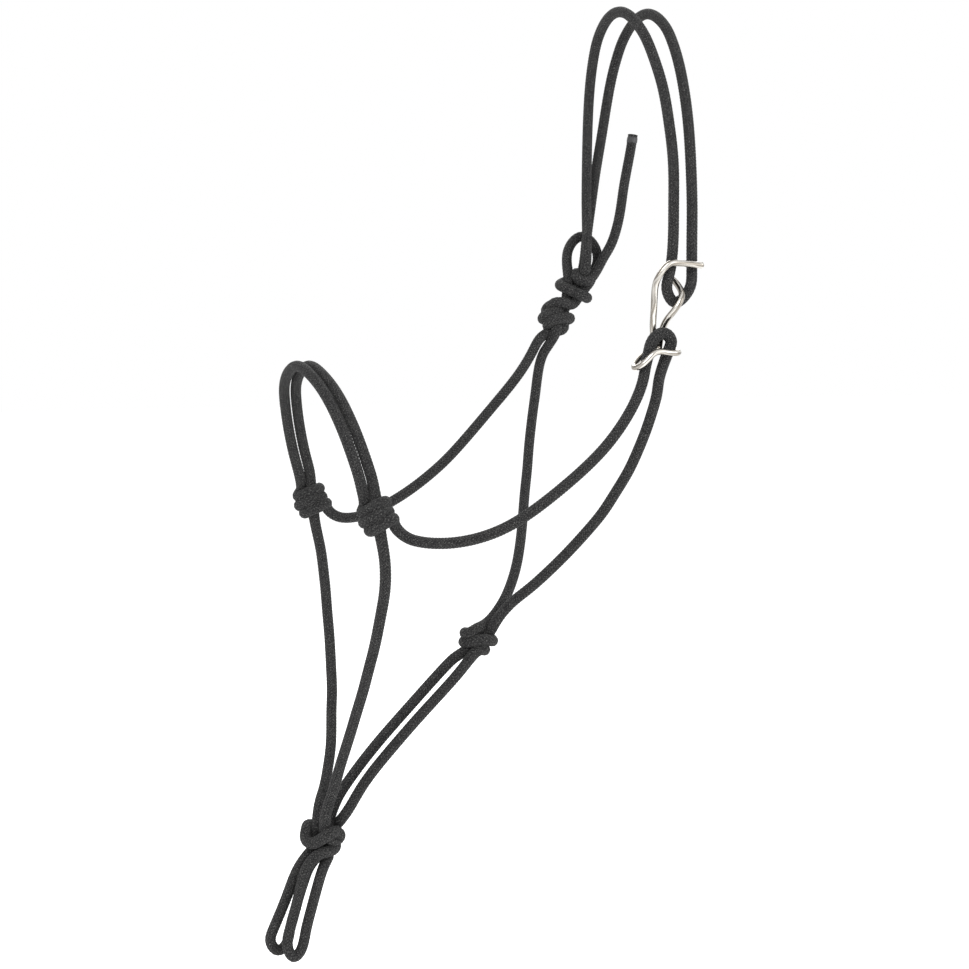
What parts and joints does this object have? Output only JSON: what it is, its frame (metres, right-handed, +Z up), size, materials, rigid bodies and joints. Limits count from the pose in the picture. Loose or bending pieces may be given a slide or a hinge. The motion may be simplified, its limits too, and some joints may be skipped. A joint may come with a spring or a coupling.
{
  "type": "rope halter",
  "caption": "Knotted rope halter for a horse: doubled crown with a wire buckle, noseband, cheek and throat ropes, fiador and lead loops.",
  "frame": {"origin": "the poll: mid width, on the underside of the crown rope, where the horse's head carries the halter", "axes": "+Z up, -X towards the nose, -Y to the near (left) side that has the buckle, +Y to the far side"},
  "size_m": [0.3487, 0.2022, 0.7059],
  "materials": {
    "braided_rope": "matt diamond-braided polyester, charcoal black",
    "nickel_wire": "bright nickel plate",
    "sealed_end": "melted and rounded rope end"
  },
  "bodies": {
    "root": {"crown_front_far": "braided_rope", "crown_rear_far": "braided_rope", "cheek_eye_far": "braided_rope", "sheet_bend": "braided_rope", "cheek_knot_far": "braided_rope", "cheek_rope_far": "braided_rope", "throat_rope_far": "braided_rope", "cheek_rope_near": "braided_rope", "throat_rope_near": "braided_rope", "throat_knot": "braided_rope", "fiador_line_near": "braided_rope", "fiador_line_far": "braided_rope", "chin_rope_near": "braided_rope", "chin_rope_far": "braided_rope", "nose_knot_near": "braided_rope", "nose_knot_far": "braided_rope", "fiador_knot": "braided_rope"},
    "crown_near_half": {"crown_front_near": "braided_rope", "crown_rear_near": "braided_rope", "crown_bight": "braided_rope"},
    "buckle": {"buckle_hook": "nickel_wire", "buckle_collar": "nickel_wire", "cheek_eye_near": "braided_rope"},
    "noseband": {"noseband_front": "braided_rope", "noseband_rear": "braided_rope"},
    "lead_loops": {"lead_loop_near": "braided_rope", "lead_loop_far": "braided_rope"},
    "free_tail": {"tail": "braided_rope", "tail_tip": "sealed_end"}
  },
  "joints": [
    {"name": "crown_release", "type": "hinge", "parent": "root", "child": "crown_near_half", "pos_m": [-0.006, 0, 0.0012], "axis": [1, 0, 0], "range_deg": [0, 30], "stiffness_Nm_per_rad": 0.6},
    {"name": "buckle_swing", "type": "hinge", "parent": "root", "child": "buckle", "pos_m": [-0.0335, -0.09, -0.272], "axis": [1, 0, 0], "range_deg": [0, 45], "stiffness_Nm_per_rad": 0.3},
    {"name": "noseband_fold", "type": "hinge", "parent": "root", "child": "noseband", "pos_m": [-0.24, 0, -0.366], "axis": [0, 1, 0], "range_deg": [-30, 30], "stiffness_Nm_per_rad": 0.3},
    {"name": "lead_loop_swing", "type": "hinge", "parent": "root", "child": "lead_loops", "pos_m": [-0.257, 0, -0.609], "axis": [0, 1, 0], "range_deg": [-40, 40]},
    {"name": "tail_swing", "type": "hinge", "parent": "root", "child": "free_tail", "pos_m": [-0.008, 0.0875, -0.2015], "axis": [0, 1, 0], "range_deg": [0, 40], "stiffness_Nm_per_rad": 0.1}
  ]
}
